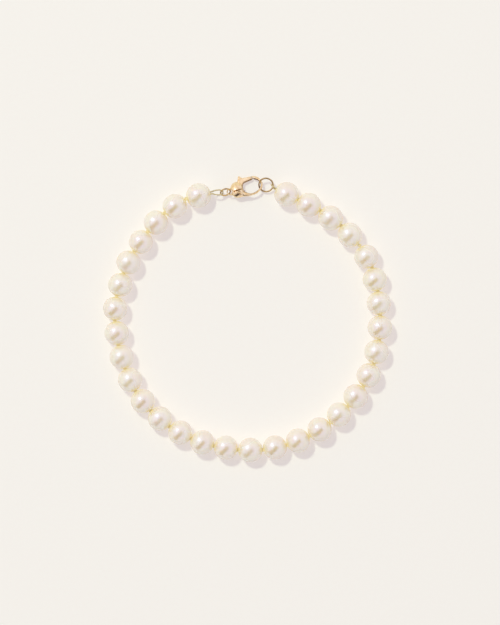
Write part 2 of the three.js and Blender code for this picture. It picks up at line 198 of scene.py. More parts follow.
# Cultured pearl, nacre of very thin crystal layers: a warm, slightly see-through body under a
# silky, bluish lustre that is stronger than the shine of one plain surface
nacreLook = {
    "body": ["#FCE0B4", "#F9D8BA", "#FDE3BC", "#FADBC8"],
    # painted light: the base colour turns yellow round the drill holes, where two beads light each other
    "contactLightTint": "#FADC80",
    # the lit table's light that comes up through the bead, drawn as a faint glow, which is
    # strongest round the drill holes, where two beads light each other
    "throughLight": "#FFDA9E",
    "endLight": "#FFE4A0",
    "through": 0.135,
    "throughEnd": 0.17,
    "overtonePatch": 6.0,  # mm
    "growthMark": 0.35,  # mm, drawn coarser than real so that it shows
    "roughness": 0.26,
    "ior": 4.6,  # aragonite is 1.6; its stacked layers send back as much as one surface of 4.6
    "lustre": "#CBE2FF",
    "depth": 2.2,  # mm that light spreads under the surface
    "coatRoughness": 0.26,
}


def makeNacre():
    material, tree = newMaterial("culturedPearlNacre")
    place = addNode(tree, "ShaderNodeTexCoord").outputs["Object"]
    patches = addNode(tree, "ShaderNodeTexNoise", inputs={
        "Scale": 1 / (nacreLook["overtonePatch"] * mm), "Detail": 1.0, "Roughness": 0.4,
    }, links={"Vector": place})
    body = nacreLook["body"]
    bodyColour = colourRamp(tree, patches.outputs["Fac"], [
        (0.3, body[0]), (0.45, body[1]), (0.58, body[2]), (0.72, body[3]),
    ])
    drillEnd = addNode(tree, "ShaderNodeAttribute", {"attribute_name": "drillEnd"})
    # painted light: the base colour is mixed towards the yellow contact tint near the drill holes
    contactLit = addNode(tree, "ShaderNodeMix", {"data_type": "RGBA"}, links={
        "Factor": drillEnd.outputs["Fac"], "A": bodyColour,
    })
    contactLit.inputs["B"].default_value = fromHex(nacreLook["contactLightTint"])
    glowColour = addNode(tree, "ShaderNodeMix", {"data_type": "RGBA"}, links={
        "Factor": drillEnd.outputs["Fac"],
    })
    glowColour.inputs["A"].default_value = fromHex(nacreLook["throughLight"])
    glowColour.inputs["B"].default_value = fromHex(nacreLook["endLight"])
    glow = addNode(tree, "ShaderNodeMapRange", inputs={
        "To Min": nacreLook["through"], "To Max": nacreLook["throughEnd"],
    }, links={"Value": drillEnd.outputs["Fac"]})
    marks = addNode(tree, "ShaderNodeTexNoise", inputs={
        "Scale": 1 / (nacreLook["growthMark"] * mm), "Detail": 3.0, "Roughness": 0.55,
    }, links={"Vector": place})
    bump = addNode(tree, "ShaderNodeBump", inputs={
        "Strength": 0.12, "Distance": 0.004 * mm,
    }, links={"Height": marks.outputs["Fac"]})
    rough = addNode(tree, "ShaderNodeMapRange", inputs={
        "From Min": 0.35, "From Max": 0.65,
        "To Min": nacreLook["roughness"] - 0.04, "To Max": nacreLook["roughness"] + 0.05,
    }, links={"Value": patches.outputs["Fac"]})
    shader = addNode(tree, "ShaderNodeBsdfPrincipled", inputs={
        "IOR": nacreLook["ior"],
        "Specular Tint": fromHex(nacreLook["lustre"]),
        "Subsurface Weight": 0.9,
        "Subsurface Radius": (1.0, 0.9, 0.75),
        "Subsurface Scale": nacreLook["depth"] * mm,
        "Coat Weight": 0.25,
        "Coat Roughness": nacreLook["coatRoughness"],
        "Coat IOR": 1.53,
    }, links={
        "Emission Color": glowColour.outputs["Result"],
        "Emission Strength": glow.outputs["Result"],
        "Base Color": contactLit.outputs["Result"],
        "Roughness": rough.outputs["Result"],
        "Normal": bump.outputs["Normal"],
    })
    finishMaterial(tree, shader)
    return material


# Yellow gold: the casting is tumble-polished, a pale bright mirror with faint fine scratches,
# and the rings are drawn wire, a little deeper in colour and less bright
goldLook = {
    "cast": {"colour": "#F5D9A2", "deep": "#DDB06C", "roughness": 0.17},
    "wire": {"colour": "#CAA664", "deep": "#8E6A34", "roughness": 0.2},
    "paintedRoomShade": "#7E5424",  # painted shade: dark brown on faces that look into the hook's room, standing in for its shade
    "scratch": 0.12,  # mm
}


def makeGold(name, look):
    material, tree = newMaterial(name)
    place = addNode(tree, "ShaderNodeTexCoord").outputs["Object"]
    wear = addNode(tree, "ShaderNodeTexNoise", inputs={
        "Scale": 1 / (0.9 * mm), "Detail": 4.0, "Roughness": 0.6,
    }, links={"Vector": place})
    colour = colourRamp(tree, wear.outputs["Fac"], [(0.35, look["deep"]), (0.6, look["colour"])])
    # painted shade: faces that look into the hook's room are mixed towards dark brown
    inside = addNode(tree, "ShaderNodeAttribute", {"attribute_name": "insideFace"})
    darkenedInside = addNode(tree, "ShaderNodeMix", {"data_type": "RGBA"}, links={
        "Factor": inside.outputs["Fac"], "A": colour,
    })
    darkenedInside.inputs["B"].default_value = fromHex(goldLook["paintedRoomShade"])
    rough = addNode(tree, "ShaderNodeMapRange", inputs={
        "From Min": 0.3, "From Max": 0.7,
        "To Min": look["roughness"] - 0.04, "To Max": look["roughness"] + 0.07,
    }, links={"Value": wear.outputs["Fac"]})
    stretched = addNode(tree, "ShaderNodeMapping", inputs={
        "Scale": (1.0, 6.0, 3.0),
    }, links={"Vector": place})
    scratches = addNode(tree, "ShaderNodeTexNoise", inputs={
        "Scale": 1 / (goldLook["scratch"] * 3 * mm), "Detail": 5.0, "Roughness": 0.65,
    }, links={"Vector": stretched.outputs["Vector"]})
    bump = addNode(tree, "ShaderNodeBump", inputs={
        "Strength": 0.1, "Distance": 0.003 * mm,
    }, links={"Height": scratches.outputs["Fac"]})
    shader = addNode(tree, "ShaderNodeBsdfPrincipled", inputs={
        "Metallic": 1.0,
    }, links={
        "Base Color": darkenedInside.outputs["Result"],
        "Roughness": rough.outputs["Result"],
        "Normal": bump.outputs["Normal"],
    })
    finishMaterial(tree, shader)
    return material


# Gilt brass wire wound in a close coil: greener and duller than the clasp, with dark between turns
gimpLook = {"colour": "#E6D79E", "deep": "#B9A768", "roughness": 0.3}


def makeGimp():
    material, tree = newMaterial("coiledGiltWire")
    place = addNode(tree, "ShaderNodeTexCoord").outputs["Object"]
    tarnish = addNode(tree, "ShaderNodeTexNoise", inputs={
        "Scale": 1 / (0.6 * mm), "Detail": 2.0,
    }, links={"Vector": place})
    colour = colourRamp(tree, tarnish.outputs["Fac"], [(0.3, gimpLook["deep"]), (0.55, gimpLook["colour"])])
    shader = addNode(tree, "ShaderNodeBsdfPrincipled", inputs={
        "Metallic": 1.0, "Roughness": gimpLook["roughness"],
    }, links={"Base Color": colour})
    finishMaterial(tree, shader)
    return material


# Twisted silk, undyed and a little golden: soft sheen along the plies, no sparkle, and a faint painted glow
# of its own pale gold, painted light that stands in for light passing through it
silkLook = {
    "light": "#F3E4AE", "dark": "#DDC98C", "through": "#F2E2AC", "glow": 0.1,
    "fibre": 0.05, "roughness": 0.62,
}


def makeSilk():
    material, tree = newMaterial("twistedSilkThread")
    place = addNode(tree, "ShaderNodeTexCoord").outputs["Object"]
    fibres = addNode(tree, "ShaderNodeTexNoise", inputs={
        "Scale": 1 / (silkLook["fibre"] * 2 * mm), "Detail": 3.0, "Roughness": 0.6,
    }, links={"Vector": place})
    colour = colourRamp(tree, fibres.outputs["Fac"], [(0.35, silkLook["dark"]), (0.62, silkLook["light"])])
    bump = addNode(tree, "ShaderNodeBump", inputs={
        "Strength": 0.4, "Distance": 0.01 * mm,
    }, links={"Height": fibres.outputs["Fac"]})
    shader = addNode(tree, "ShaderNodeBsdfPrincipled", inputs={
        "IOR": 1.54, "Roughness": silkLook["roughness"], "Sheen Weight": 0.3, "Sheen Roughness": 0.4,
        # painted light: the thread glows faintly, though it is no lamp
        "Emission Color": fromHex(silkLook["through"]), "Emission Strength": silkLook["glow"],
    }, links={"Base Color": colour, "Normal": bump.outputs["Normal"]})
    finishMaterial(tree, shader)
    return material


# Sheet of opal acrylic with a matt top, lit from beneath, which keeps the shadows pale
tableLook = {"colour": "#CCCCC8", "spot": "#CACAC6", "light": "#FCEFEC", "grain": 0.8, "glow": 0.43}


def makeTable():
    material, tree = newMaterial("mattOpalAcrylic")
    place = addNode(tree, "ShaderNodeTexCoord").outputs["Object"]
    grain = addNode(tree, "ShaderNodeTexNoise", inputs={
        "Scale": 1 / (tableLook["grain"] * mm), "Detail": 2.0,
    }, links={"Vector": place})
    colour = colourRamp(tree, grain.outputs["Fac"], [(0.3, tableLook["spot"]), (0.7, tableLook["colour"])])
    shader = addNode(tree, "ShaderNodeBsdfPrincipled", inputs={
        "IOR": 1.49, "Roughness": 0.85, "Specular IOR Level": 0.15,
        "Emission Color": fromHex(tableLook["light"]), "Emission Strength": tableLook["glow"],
    }, links={"Base Color": colour})
    finishMaterial(tree, shader)
    return material


nacre = makeNacre()
castGold = makeGold("polishedCastGold", goldLook["cast"])
wireGold = makeGold("drawnGoldWire", goldLook["wire"])
gilt = makeGimp()
silk = makeSilk()
print("materials made")


# Pearls

pearl = {
    "count": 31,
    "around": 64,
    "bands": 46,
    "boreDiameter": 0.8,
    "mouthDiameter": 1.5,
    "mouthDepth": 0.35,
    "unevenness": 0.005,  # share of the radius
}


def pearlPlace(name):
    # middle, radius, line of the bore and half-length, from the CAD pearl: the rims of its bore
    # are the corners nearest its middle
    corners = nodePoints(name)
    low, high = corners.min(0), corners.max(0)
    middle = (low + high) / 2
    offset = corners - middle
    distance = np.linalg.norm(offset, axis=1)
    rims = offset[distance < distance.min() * 1.001]
    line = np.linalg.svd(rims, full_matrices=False)[2][0]
    halfLength = np.abs(rims @ line).mean() + pearl["mouthDepth"]
    return {"middle": middle, "radius": (high[2] - low[2]) / 2, "line": line, "half": halfLength}


# Surface of a drilled pearl: an ellipsoid of revolution about its bore, where a point at angle
# b from the bore's line is (a cos b, r sin b), closed inwards by a rounded mouth at each end and
# by the bore's wall, and made a little uneven by a few slow waves over the whole round
def pearlSurface(place):
    radius = place["radius"]
    mouth = pearl["mouthDiameter"] / 2
    bore = pearl["boreDiameter"] / 2
    rim = math.asin(mouth / radius)
    halfAxis = place["half"] / math.cos(rim)
    b = np.linspace(rim, np.pi - rim, pearl["bands"])
    outside = np.stack([halfAxis * np.cos(b), radius * np.sin(b)], -1)
    share = np.linspace(0, 1, 7)[1:]
    funnel = np.stack([
        place["half"] - pearl["mouthDepth"] * share**1.6,
        mouth - (mouth - bore) * np.sin(share * np.pi / 2) ** 1.2,
    ], -1)
    wall = np.stack([np.linspace(0.75, -0.75, 4) * place["half"], np.full(4, bore)], -1)
    profile = np.concatenate([outside, funnel * [-1, 1], wall * [-1, 1], funnel[::-1]])
    angle = np.linspace(0, 2 * np.pi, pearl["around"], endpoint=False)
    line = place["line"]
    side = unit(np.cross(line, [0, 0, 1]))
    up = np.cross(side, line)
    ring = np.cos(angle)[:, None] * side + np.sin(angle)[:, None] * up
    offset = profile[:, 0, None, None] * line + profile[:, 1, None, None] * ring
    towards = unit(offset)
    waves = sum(
        np.sin(towards @ (unit(randomNumbers.normal(size=3)) * pitch) + randomNumbers.uniform(0, 6.28))
        for pitch in (1.6, 2.2, 3.1, 4.5)
    )
    offset *= (1 + pearl["unevenness"] * waves / 2)[..., None]
    drillEnd = np.clip((np.abs(towards @ line) - 0.7) / 0.28, 0, 1) ** 1.5
    points = (place["middle"] + offset).reshape(-1, 3)
    return points, gridFaces(len(profile), pearl["around"], wrapRows=True), drillEnd.ravel()


def makePearls(places):
    for i, place in enumerate(places):
        points, faces, drillEnd = pearlSurface(place)
        node = "pearl_%02d" % (i + 1)
        makePiece("roundPearl_%02d" % (i + 1), points, faces, nacre, "bracelet", [node],
                  {"drillEnd": drillEnd})


pearlPlaces = [pearlPlace("pearl_%02d" % (i + 1)) for i in range(pearl["count"])]
for before, after in zip(pearlPlaces, pearlPlaces[1:]):
    if after["line"] @ (after["middle"] - before["middle"]) < 0:
        after["line"] = -after["line"]
if pearlPlaces[0]["line"] @ (pearlPlaces[1]["middle"] - pearlPlaces[0]["middle"]) < 0:
    pearlPlaces[0]["line"] = -pearlPlaces[0]["line"]
makePearls(pearlPlaces)
print("pearls made:", len(pearlPlaces))


# End loops

endLoop = {
    "coilDiameter": 0.36,
    "wireDiameter": 0.09,
    "turnSpacing": 0.108,  # drawn coarser than real so that the turns show
    "pointsPerTurn": 10,
    "wireSides": 6,
    "entry": 0.12,
    "legSpacing": 0.46,
    "linkGap": 0.13,
    "ringWire": 0.38,
    # one leg as shares of the reach and of half the width
    "leg": [(0.3, 0.82), (0.68, 1.0), (0.93, 0.7)],
}
claspEnd = {"width": 1.1, "roll": -12, "exit": 0.34, "reach": 2.52}
ringEnd = {"width": 1.0, "roll": 68, "exit": 0.43}


# Line of an end loop: out of the bore, one leg to the bend at reach, and the other leg back
def endLoopLine(place, outward, target, end, reach):
    inward = -outward
    start = place["middle"] + outward * (place["half"] + end["exit"])
    ahead = unit(target - start)
    level = unit(np.cross([0, 0, 1], ahead))
    upright = np.cross(ahead, level)
    turn = math.radians(end["roll"])
    aside = math.cos(turn) * level + math.sin(turn) * upright
    across = unit(aside - (aside @ inward) * inward) * endLoop["legSpacing"] / 2
    depth = end["exit"] + endLoop["entry"]
    half = end["width"] / 2
    legs = []
    for side in (1, -1):
        leg = [side * across + inward * depth, side * across]
        leg += [ahead * along * reach + side * aside * share * half for along, share in endLoop["leg"]]
        legs.append(leg)
    points = legs[0] + [ahead * reach] + legs[1][::-1]
    normal = np.cross(ahead, aside)
    return start + np.array(points), normal


# Fine wire wound round a line: the wire's own line is line + coil radius (cos t side + sin t up),
# with t growing by a full turn for each turn spacing
def coiledWire(points, normal):
    length = lineThrough(points, 200)[1]
    turns = round(length / endLoop["turnSpacing"])
    line = lineThrough(points, turns * endLoop["pointsPerTurn"])[0]
    along = unit(np.gradient(line, axis=0))
    side = unit(np.cross(normal, along))
    up = np.cross(along, side)
    angle = np.linspace(0, 2 * np.pi * turns, len(line))[:, None]
    outward = np.cos(angle) * side + np.sin(angle) * up
    radius = (endLoop["coilDiameter"] - endLoop["wireDiameter"]) / 2
    wire = line + radius * outward
    return closedTube(tubeRings(wire, endLoop["wireDiameter"] / 2, endLoop["wireSides"], outward))


def nodeRing(name, wire):
    # middle, axis and radius of a CAD ring, from its corners
    corners = nodePoints(name)
    middle = corners.mean(0)
    axis = np.linalg.svd(corners - middle, full_matrices=False)[2][2]
    across = np.linalg.norm((corners - middle) - ((corners - middle) @ axis)[:, None] * axis, axis=1)
    return {"middle": middle, "axis": axis, "radius": (across.max() + across.min()) / 2, "wire": wire}


smallRing = nodeRing("clasp_ring", endLoop["ringWire"])
jumpRing = nodeRing("jump_ring", endLoop["ringWire"])
firstPlace, lastPlace = pearlPlaces[0], pearlPlaces[-1]
claspLoop, claspNormal = endLoopLine(
    firstPlace, -firstPlace["line"], smallRing["middle"], claspEnd, claspEnd["reach"]
)
lastExit = lastPlace["middle"] + lastPlace["line"] * (lastPlace["half"] + ringEnd["exit"])
towardsRing = lastExit - jumpRing["middle"]
flat = towardsRing - (towardsRing @ jumpRing["axis"]) * jumpRing["axis"]
heldWire = jumpRing["middle"] + unit(flat) * jumpRing["radius"]
touch = endLoop["coilDiameter"] / 2 + endLoop["linkGap"] + endLoop["ringWire"] / 2
ringLoop, ringNormal = endLoopLine(
    lastPlace, lastPlace["line"], heldWire, ringEnd, np.linalg.norm(heldWire - lastExit) + touch
)
endLoops = {
    "gimp_loop_clasp": (claspLoop, claspNormal),
    "gimp_loop_ring": (ringLoop, ringNormal),
}
for name, (points, normal) in endLoops.items():
    coil, coilFaces = coiledWire(points, normal)
    makePiece("coiled_" + name, coil, coilFaces, gilt, "bracelet", [name])
print("end loops wound")


# Silk thread

thread = {
    "diameter": 0.36,
    "twist": 0.9,  # mm for a full turn of the two plies
    "sides": 12,
    "step": 0.1,
    "knotDiameter": 0.95,
    "knotLength": 0.6,
    "knotThread": 0.27,
    "coreDiameter": 0.15,
}


# Two-ply thread: the section's radius is r (0.78 + 0.22 |cos(a - t)|), and t turns along the line
def twistedThread(line, diameter):
    run = np.concatenate([[0], np.cumsum(np.linalg.norm(np.diff(line, axis=0), axis=1))])
    angle = np.linspace(0, 2 * np.pi, thread["sides"], endpoint=False)
    turn = 2 * np.pi * run[:, None] / thread["twist"]
    radius = diameter / 2 * (0.78 + 0.22 * np.abs(np.cos(angle[None] - turn)))
    return closedTube(tubeRings(line, radius, thread["sides"], np.array([0.0, 0.0, 1.0])))


# Overhand knot pulled tight: the line of a trefoil, (sin t + 2 sin 2t, cos t - 2 cos 2t, -sin 3t),
# pressed to the knot's size, with its third axis along the string
def knotShape(middle, line):
    t = np.linspace(0, 2 * np.pi, 72, endpoint=False)
    trefoil = np.stack([np.sin(t) + 2 * np.sin(2 * t), np.cos(t) - 2 * np.cos(2 * t), -np.sin(3 * t)], -1)
    bend = np.stack([
        -np.sin(t) - 8 * np.sin(2 * t), -np.cos(t) + 8 * np.cos(2 * t), 9 * np.sin(3 * t),
    ], -1)
    wide = (thread["knotDiameter"] - thread["knotThread"]) / 2 / 3
    deep = (thread["knotLength"] - thread["knotThread"]) / 2
    side = unit(np.cross(line, [0, 0, 1]))
    up = np.cross(side, line)
    axes = np.stack([side * wide, up * wide, line * deep])
    path = middle + trefoil @ axes
    slope = np.roll(path, -1, 0) - np.roll(path, 1, 0)
    along = unit(slope)
    inner = bend @ axes
    across = unit(inner - (inner * along).sum(-1, keepdims=True) * along)
    up = np.cross(along, across)
    angle = np.linspace(0, 2 * np.pi, 8, endpoint=False)
    ring = np.cos(angle)[None, :, None] * across[:, None] + np.sin(angle)[None, :, None] * up[:, None]
    rings = path[:, None] + thread["knotThread"] / 2 * ring
    return rings.reshape(-1, 3), gridFaces(len(t), 8, wrapRows=True)


def mouthPoint(place, side):
    return place["middle"] + side * place["line"] * place["half"]


def makeThread(places):
    parts = []
    points = [mouthPoint(places[0], -1)]
    for before, after in zip(places, places[1:]):
        middle = (mouthPoint(before, 1) + mouthPoint(after, -1)) / 2
        points += [before["middle"], middle]
        parts.append(knotShape(middle, unit(after["middle"] - before["middle"])))
    points += [places[-1]["middle"], mouthPoint(places[-1], 1)]
    length = np.linalg.norm(np.diff(points, axis=0), axis=1).sum()
    line = lineThrough(points, int(length / thread["step"]))[0]
    parts.insert(0, twistedThread(line, thread["diameter"]))
    for loop, normal in endLoops.values():
        core = lineThrough(loop, 90)[0]
        parts.append(closedTube(tubeRings(core, thread["coreDiameter"] / 2, 8, normal)))
    allPoints, allFaces = joined(parts)
    makePiece("twistedSilkThread", allPoints, allFaces, silk, "bracelet", ["silk_thread"])


makeThread(pearlPlaces)
print("thread and knots made")


# Rings

ringLook = {"around": 96, "section": 20, "seamShare": 0.05, "seamTurn": 0.035}


# Closed ring of round wire: centre line at radius R, wire radius w (1 - seam), where seam is a
# slight narrowing, exp(-(turn / width)^2), at the soldered joint
def ringSurface(ring, seamAt):
    axis = ring["axis"]
    side = unit(np.cross(axis, [0.3, 1.0, 0.2]))
    up = np.cross(axis, side)
    turn = np.linspace(0, 2 * np.pi, ringLook["around"], endpoint=False)
    angle = np.linspace(0, 2 * np.pi, ringLook["section"], endpoint=False)
    outward = np.cos(turn)[:, None] * side + np.sin(turn)[:, None] * up
    away = np.angle(np.exp(1j * (turn - seamAt)))
    wire = ring["wire"] / 2 * (1 - ringLook["seamShare"] * np.exp(-((away / ringLook["seamTurn"]) ** 2)))
    section = np.cos(angle)[None, :, None] * outward[:, None] + np.sin(angle)[None, :, None] * axis
    points = ring["middle"] + ring["radius"] * outward[:, None] + wire[:, None, None] * section
    faces = gridFaces(ringLook["around"], ringLook["section"], wrapRows=True)
    return points.reshape(-1, 3), faces[:, ::-1]


for name, ring, seamAt in (("clasp_ring", smallRing, 1.0), ("jump_ring", jumpRing, 4.1)):
    points, faces = ringSurface(ring, seamAt)
    makePiece("round_" + name, points, faces, wireGold, "bracelet", [name])
print("rings made")


# Clasp

# The clasp's own frame in millimetres: the eye at the origin, the hook's end towards the first
# axis, the lever's side towards the second, and the third through the casting
clasp = {
    "length": 7.25,
    "width": 4.5,
    "thickness": 1.8,
    "hookWidth": 0.46,
    "hookThickness": 0.62,
    "eyeBore": 1.02,
    "eyeWall": 0.28,
    "eyeThickness": 0.56,
    "leverThickness": 0.7,
    "clearance": 0.1,
    "travel": 20,
    "rivetDiameter": 0.4,
    "rivetLength": 1.56,
    "rivetClearance": 0.06,
    "windowWidth": 0.34,
    "trimTurn": 22,
    "cell": 0.05,
    # middle line of the hook as shares of length and width, and its width in hook widths
    "hookLine": [
        (0.2, -0.2, 2.4), (0.4, -0.26, 2.3), (0.6, -0.342, 1.15), (0.795, -0.276, 0.95),
        (0.933, -0.098, 1.0), (0.968, 0.115, 1.0), (0.918, 0.322, 1.25), (0.805, 0.455, 1.75),
        (0.668, 0.48, 1.95),
    ],
    # places as shares of length and width, then half-sizes or a radius in the same shares
    "bulb": (0.228, 0.04, 0.215, 0.405),
    "window": [(0.127, -0.076), (0.346, -0.038)],
    "pivot": (0.265, -0.175, 0.1),
    "elbow": (0.374, 0.42, 0.145),
    "tip": (0.646, 0.467, 0.09),
    "tipRun": 0.35,
    "roomMiddle": (0.7, 0.1),  # of the hook's room
    "roomFrom": 0.36,
    "tab": (0.347, 0.633, 0.062),
}


def claspPoint(shares):
    return np.array([shares[0] * clasp["length"], shares[1] * clasp["width"]])


# Rounded joins: the smaller of two distances, eased by k where they are alike
def blendMin(a, b, k):
    h = np.clip(0.5 + 0.5 * (b - a) / k, 0, 1)
    return b + (a - b) * h - k * h * (1 - h)


def blendMax(a, b, k):
    return -blendMin(-a, -b, k)


# Distance to a flat bar between two circles of unlike radius and their tangents
def barDistance(flat, start, startRadius, end, endRadius):
    run = end - start
    squared = run @ run
    offset = flat - start
    q0 = np.abs(offset @ np.array([run[1], -run[0]])) / squared
    q1 = offset @ run / squared
    drop = startRadius - endRadius
    c0, c1 = math.sqrt(squared - drop**2), drop
    k = c0 * q1 - c1 * q0
    n = q0**2 + q1**2
    low = np.sqrt(squared * n) - startRadius
    high = np.sqrt(squared * np.maximum(n + 1 - 2 * q1, 0)) - endRadius
    return np.where(k < 0, low, np.where(k > c0, high, c0 * q0 + c1 * q1 - startRadius))


def leverReach():
    # from the pivot to the end of the lever's tip
    run = claspPoint(clasp["tip"]) - claspPoint(clasp["pivot"])
    return np.linalg.norm(run) + clasp["tip"][2] * clasp["width"]


# The lever seen from the side: three tapered bars joined softly, with the tip's bar run on a
# little and cut to an arc about the pivot, so that it closes on the hook's end
def leverOutline(flat, blend=0.25):
    width = clasp["width"]
    pivot, elbow, tip, tab = (claspPoint(clasp[key]) for key in ("pivot", "elbow", "tip", "tab"))
    beyond = tip + unit(tip - elbow) * clasp["tipRun"]
    arms = [("pivot", pivot, "elbow", elbow), ("elbow", elbow, "tip", beyond), ("elbow", elbow, "tab", tab)]
    distance = None
    for startKey, start, endKey, end in arms:
        arm = barDistance(flat, start, clasp[startKey][2] * width, end, clasp[endKey][2] * width)
        distance = arm if distance is None else blendMin(distance, arm, blend)
    return blendMax(distance, np.linalg.norm(flat - pivot, axis=1) - leverReach(), 0.06)


def turnedAboutPivot(flat, turn):
    pivot = claspPoint(clasp["pivot"])
    cos, sin = math.cos(turn), math.sin(turn)
    return (flat - pivot) @ np.array([[cos, sin], [-sin, cos]]) + pivot


hookRows = [(*claspPoint(row), row[2] * clasp["hookWidth"]) for row in clasp["hookLine"]]
hookCurve = lineThrough(hookRows, 90)[0]


# Distance to the hook: an oval section carried along the hook's line, as wide as its rows say
def hookDistance(points):
    gap = np.full(len(points), np.inf)
    wide = np.ones(len(points))
    for start, end in zip(hookCurve, hookCurve[1:]):
        run = (end - start)[:2]
        share = np.clip((points[:, :2] - start[:2]) @ run / (run @ run), 0, 1)
        there = np.linalg.norm(points[:, :2] - start[:2] - share[:, None] * run, axis=1)
        closer = there < gap
        gap = np.where(closer, there, gap)
        wide = np.where(closer, (start[2] + share * (end[2] - start[2])) / 2, wide)
    deep = clasp["hookThickness"] / 2
    level = np.hypot(gap / wide, points[:, 2] / deep)
    return (level - 1) * np.minimum(wide, deep)


def bodyDistance(points):
    x, y, z = points.T
    flat = points[:, :2]
    along, aside, halfAlong, halfAside = clasp["bulb"]
    middle = claspPoint((along, aside))
    halves = np.array([halfAlong * clasp["length"], halfAside * clasp["width"], clasp["thickness"] / 2])
    offset = (points - [*middle, 0]) / halves
    level = np.linalg.norm(offset, axis=1)
    bulb = level * (level - 1) / np.maximum(np.linalg.norm(offset / halves, axis=1), 1e-6)
    fromEye = np.hypot(x, y)
    wall = clasp["eyeWall"] / 2
    eye = np.hypot((fromEye - clasp["eyeBore"] / 2 - wall) / wall, z / (clasp["eyeThickness"] / 2))
    body = blendMin(bulb, (eye - 1) * wall, 0.22)
    body = blendMin(body, hookEnd(points), 0.3)
    body = blendMax(body, clasp["eyeBore"] / 2 - fromEye, 0.06)
    room = np.min([
        leverOutline(turnedAboutPivot(flat, math.radians(turn)), 0.05)
        for turn in np.linspace(0, clasp["travel"], 6)
    ], axis=0) - clasp["clearance"]
    slot = np.maximum(room, np.abs(z) - clasp["leverThickness"] / 2 - clasp["clearance"])
    body = blendMax(body, -slot, 0.08)
    start, end = (claspPoint(row) for row in clasp["window"])
    window = barDistance(flat, start, clasp["windowWidth"] / 2, end, clasp["windowWidth"] / 2 - 1e-4)
    body = blendMax(body, -np.maximum(window, -z), 0.06)
    fromPivot = np.linalg.norm(flat - claspPoint(clasp["pivot"]), axis=1)
    return blendMax(body, clasp["rivetDiameter"] / 2 + clasp["rivetClearance"] - fromPivot, 0.05)


# The hook's end is cut to an arc about the pivot, just outside the lever's tip
def hookEnd(points):
    pivot, tip = claspPoint(clasp["pivot"]), claspPoint(clasp["tip"])
    offset = points[:, :2] - pivot
    reach = leverReach() + clasp["clearance"]
    towards = math.atan2(*(tip - pivot)[::-1])
    away = np.abs(np.angle(np.exp(1j * (np.arctan2(offset[:, 1], offset[:, 0]) - towards))))
    distance = np.linalg.norm(offset, axis=1)
    sector = (away - math.radians(clasp["trimTurn"])) * distance
    cut = np.maximum(np.maximum(distance - reach, reach - 2 * clasp["hookWidth"] - distance), sector)
    return blendMax(hookDistance(points), -cut, 0.06)


def leverDistance(points):
    flat = points[:, :2]
    outline = leverOutline(flat)
    body = blendMax(outline, np.abs(points[:, 2]) - clasp["leverThickness"] / 2, 0.3)
    fromPivot = np.linalg.norm(flat - claspPoint(clasp["pivot"]), axis=1)
    return blendMax(body, clasp["rivetDiameter"] / 2 + clasp["rivetClearance"] - fromPivot, 0.04)


# Surface where a distance is zero: each cell of a grid that the surface crosses gets one point,
# the mean of the crossings on its edges, moved onto the surface along the slope, and each crossed
# edge gets the quad of the four cells round it
def castSurface(distance, low, high, cell):
    axes = [np.arange(a, b + cell, cell) for a, b in zip(low, high)]
    grid = np.stack(np.meshgrid(*axes, indexing="ij"), -1)
    value = distance(grid.reshape(-1, 3)).reshape(grid.shape[:3])
    inside = value < 0
    cells = tuple(n - 1 for n in inside.shape)
    total = np.zeros((*cells, 3))
    count = np.zeros(cells)
    crossings = []
    for axis in range(3):
        here = [slice(None)] * 3
        there = [slice(None)] * 3
        here[axis] = slice(None, -1)
        there[axis] = slice(1, None)
        here, there = tuple(here), tuple(there)
        crossed = inside[here] != inside[there]
        share = np.where(crossed, value[here] / np.where(crossed, value[here] - value[there], 1), 0)
        point = grid[here].copy()
        point[..., axis] += share * cell
        others = [a for a in range(3) if a != axis]
        for first in (0, 1):
            for second in (0, 1):
                window = [slice(None)] * 3
                window[others[0]] = slice(first, first + cells[others[0]])
                window[others[1]] = slice(second, second + cells[others[1]])
                window = tuple(window)
                total += np.where(crossed[window][..., None], point[window], 0)
                count += crossed[window]
        crossings.append((axis, others, crossed, inside[here]))
    used = count > 0
    number = np.full(cells, -1)
    number[used] = np.arange(used.sum())
    points = total[used] / count[used][:, None]
    faces = []
    for axis, others, crossed, startInside in crossings:
        place = np.argwhere(crossed)
        flip = startInside[crossed]
        corners = []
        for first, second in ((-1, -1), (0, -1), (0, 0), (-1, 0)):
            corner = place.copy()
            corner[:, others[0]] += first
            corner[:, others[1]] += second
            corners.append(number[tuple(corner.T)])
        quad = np.stack(corners, -1)
        if axis == 1:
            flip = ~flip
        faces.append(np.where(flip[:, None], quad, quad[:, ::-1]))
    for _ in range(3):
        step = cell / 10
        slope = np.stack([
            (distance(points + offset) - distance(points - offset)) / (2 * step)
            for offset in np.eye(3) * step
        ], -1)
        move = distance(points) / np.maximum((slope**2).sum(-1), 0.05)
        points = points - np.clip(move, -cell, cell)[:, None] * slope
    return points, np.concatenate(faces)


def claspAxes():
    # the clasp's frame in the bracelet's, from the lever's hinge
    hinge = next(j for j in frame["joints"] if j["child"] == "lever")
    through = -unit(np.array(hinge["axis"], float))
    ahead = unit(np.array([through[1], -through[0], 0.0]))
    aside = np.cross(through, ahead)
    axes = np.stack([ahead, aside, through])
    pivot = np.array([*claspPoint(clasp["pivot"]), 0])
    return axes, np.array(hinge["pos_m"]) / mm - pivot @ axes


claspFrame, claspOrigin = claspAxes()


# How far a surface looks towards the middle of the hook's room: the dot product of its normal,
# the slope of the distance, and the way to that middle, eased between two values; the gold is painted
# darker by this much, as painted shade
def insideFace(points, distance, step=0.02, low=0.2, high=0.65):
    moves = step * np.eye(3)
    normal = unit(np.stack([distance(points + move) - distance(points - move) for move in moves], -1))
    way = np.zeros_like(points)
    way[:, :2] = unit(claspPoint(clasp["roomMiddle"]) - points[:, :2])
    amount = np.clip((np.sum(normal * way, axis=1) - low) / (high - low), 0, 1)
    return amount * (points[:, 0] > clasp["roomFrom"] * clasp["length"])


